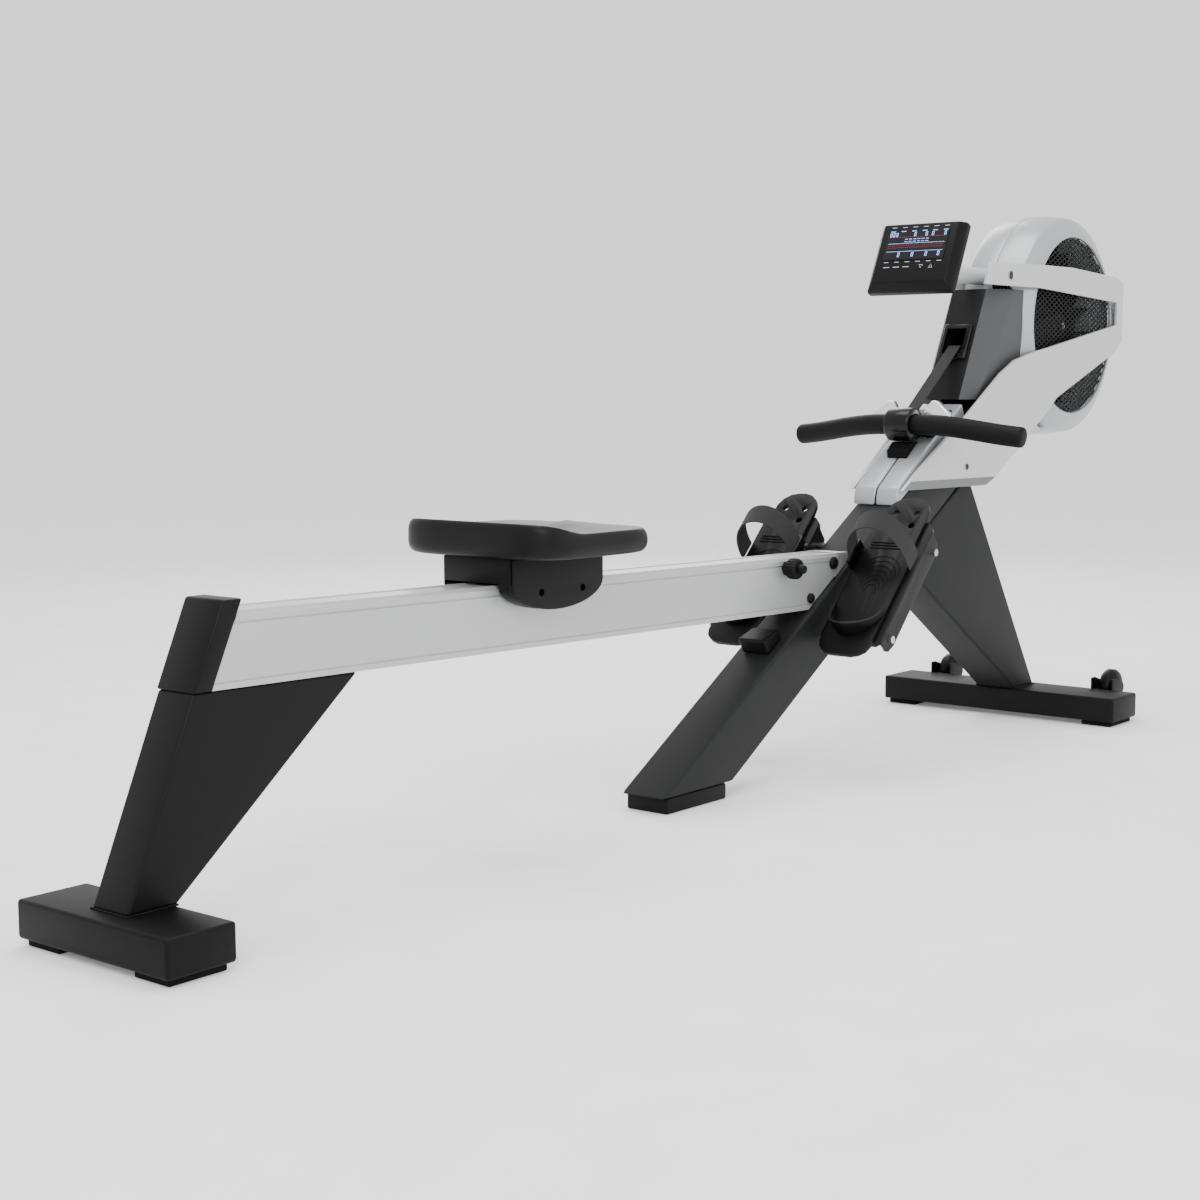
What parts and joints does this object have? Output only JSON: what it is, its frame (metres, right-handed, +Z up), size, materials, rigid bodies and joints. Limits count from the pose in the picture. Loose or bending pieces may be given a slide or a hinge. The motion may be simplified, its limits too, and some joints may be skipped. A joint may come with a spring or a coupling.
{
  "type": "folding rowing machine",
  "caption": "Folding rowing machine with a fan flywheel, sliding seat on an aluminium rail, pull handle on a strap, tilting monitor and adjustable foot rests",
  "frame": {"origin": "on the floor, at the middle of the bounding box", "axes": "+X from the rear foot to the fan, +Y the rower's left, +Z up"},
  "size_m": [2.5, 0.5, 0.9748],
  "materials": {
    "black_paint": "satin powder coat",
    "charcoal_paint": "satin powder coat",
    "silver_alloy": "anodised",
    "rubber": "matte",
    "silver_shell": "satin",
    "shroud_grey": "satin",
    "seat_foam": "grained",
    "grip_foam": "matte foam",
    "webbing": "woven",
    "steel": "bright",
    "fan_plastic": "satin",
    "screen_glass": "glossy",
    "black_plastic": "satin"
  },
  "bodies": {
    "wheel_left": {"wheel_left": "black_plastic"},
    "wheel_right": {"wheel_right": "black_plastic"},
    "fan": {"fan_wheel": "fan_plastic", "fan_axle": "steel"},
    "drum": {"strap_drum": "black_plastic"},
    "monitor": {"monitor_case": "black_plastic", "monitor_back": "silver_shell", "monitor_screen": "screen_glass"},
    "handle": {"handle_bar": "grip_foam", "handle_collar": "black_plastic", "pull_strap": "webbing"},
    "foot_left": {"footplate_left": "black_plastic"},
    "foot_right": {"footplate_right": "black_plastic"},
    "rail_arm": {"rail": "silver_alloy", "rail_end_cap": "black_plastic", "rear_leg": "black_paint", "rear_foot": "black_paint", "rear_pad_left": "rubber", "rear_pad_right": "rubber"},
    "lock": {"lock_knob": "black_plastic"},
    "seat": {"seat_pad": "seat_foam", "seat_carriage": "black_plastic", "seat_cover_left": "black_plastic", "seat_cover_right": "black_plastic"},
    "roller_front": {"seat_roller_front": "black_plastic"},
    "roller_rear": {"seat_roller_rear": "black_plastic"},
    "frame": {"axle_plate_left": "black_paint", "axle_plate_right": "black_paint", "belly_cover": "silver_shell", "drive_belt": "rubber", "fan_grille_left": "fan_plastic", "fan_grille_right": "fan_plastic", "fan_housing_left": "silver_shell", "fan_housing_right": "silver_shell", "foot_base_left": "black_plastic", "foot_base_right": "black_plastic", "foot_rod_lower": "steel", "foot_rod_upper": "steel", "foot_strap_left": "webbing", "foot_strap_right": "webbing", "front_foot": "black_paint", "front_leg": "charcoal_paint", "front_pad_left": "rubber", "front_pad_right": "rubber", "handle_cradle": "black_plastic", "hinge_bracket": "silver_alloy", "lower_cover_left": "silver_shell", "lower_cover_right": "silver_shell", "monitor_arm": "silver_shell", "pivot_bolt": "steel", "post": "charcoal_paint", "post_pad": "rubber", "rail_rest": "black_plastic", "rest_pad": "rubber", "shroud": "shroud_grey", "side_arm_left": "silver_shell", "side_arm_right": "silver_shell", "strap_bezel": "black_plastic", "strap_roller": "rubber"}
  },
  "joints": [
    {"name": "fold", "type": "hinge", "parent": "frame", "child": "rail_arm", "pos_m": [0.214, 0, 0.3475], "axis": [0, 1, 0], "range_deg": [0, 75]},
    {"name": "lock_pull", "type": "slide", "parent": "rail_arm", "child": "lock", "axis": [0, -1, 0], "range_m": [0, 0.01], "stiffness_N_per_m": 500, "springref_m": -0.01},
    {"name": "seat_slide", "type": "slide", "parent": "rail_arm", "child": "seat", "axis": [0.9999, 0, -0.0148], "range_m": [-0.425, 0.455]},
    {"name": "roller_front_spin", "type": "hinge", "parent": "seat", "child": "roller_front", "pos_m": [-0.474, 0, 0.38689], "axis": [0, 1, 0], "range_deg": [-2200, 2200]},
    {"name": "roller_rear_spin", "type": "hinge", "parent": "seat", "child": "roller_rear", "pos_m": [-0.574, 0, 0.38837], "axis": [0, 1, 0], "range_deg": [-2200, 2200]},
    {"name": "handle_pull", "type": "slide", "parent": "frame", "child": "handle", "axis": [-0.9945, 0, 0.1045], "range_m": [0, 1.1], "stiffness_N_per_m": 10, "springref_m": -0.6},
    {"name": "drum_spin", "type": "hinge", "parent": "frame", "child": "drum", "pos_m": [0.78, 0, 0.714], "axis": [0, 1, 0], "range_deg": [-3600, 3600]},
    {"name": "fan_spin", "type": "hinge", "parent": "frame", "child": "fan", "pos_m": [1.012, 0, 0.761], "axis": [0, 1, 0], "continuous": true},
    {"name": "monitor_tilt", "type": "hinge", "parent": "frame", "child": "monitor", "pos_m": [0.566, 0, 0.8475], "axis": [0, 1, 0], "range_deg": [-15, 15]},
    {"name": "foot_slide_left", "type": "slide", "parent": "frame", "child": "foot_left", "axis": [0.6947, 0, 0.7193], "range_m": [-0.03, 0.03]},
    {"name": "foot_slide_right", "type": "slide", "parent": "frame", "child": "foot_right", "axis": [0.6947, 0, 0.7193], "range_m": [-0.03, 0.03]},
    {"name": "wheel_left_spin", "type": "hinge", "parent": "frame", "child": "wheel_left", "pos_m": [1.0035, 0.178, 0.056], "axis": [0, 1, 0], "continuous": true},
    {"name": "wheel_right_spin", "type": "hinge", "parent": "frame", "child": "wheel_right", "pos_m": [1.0035, -0.178, 0.056], "axis": [0, 1, 0], "continuous": true}
  ],
  "couplings": [
    {"joint": "roller_front_spin", "follows": "seat_slide", "rad_per_m": 80},
    {"joint": "roller_rear_spin", "follows": "seat_slide", "rad_per_m": 80},
    {"joint": "drum_spin", "follows": "handle_pull", "rad_per_m": -40}
  ]
}
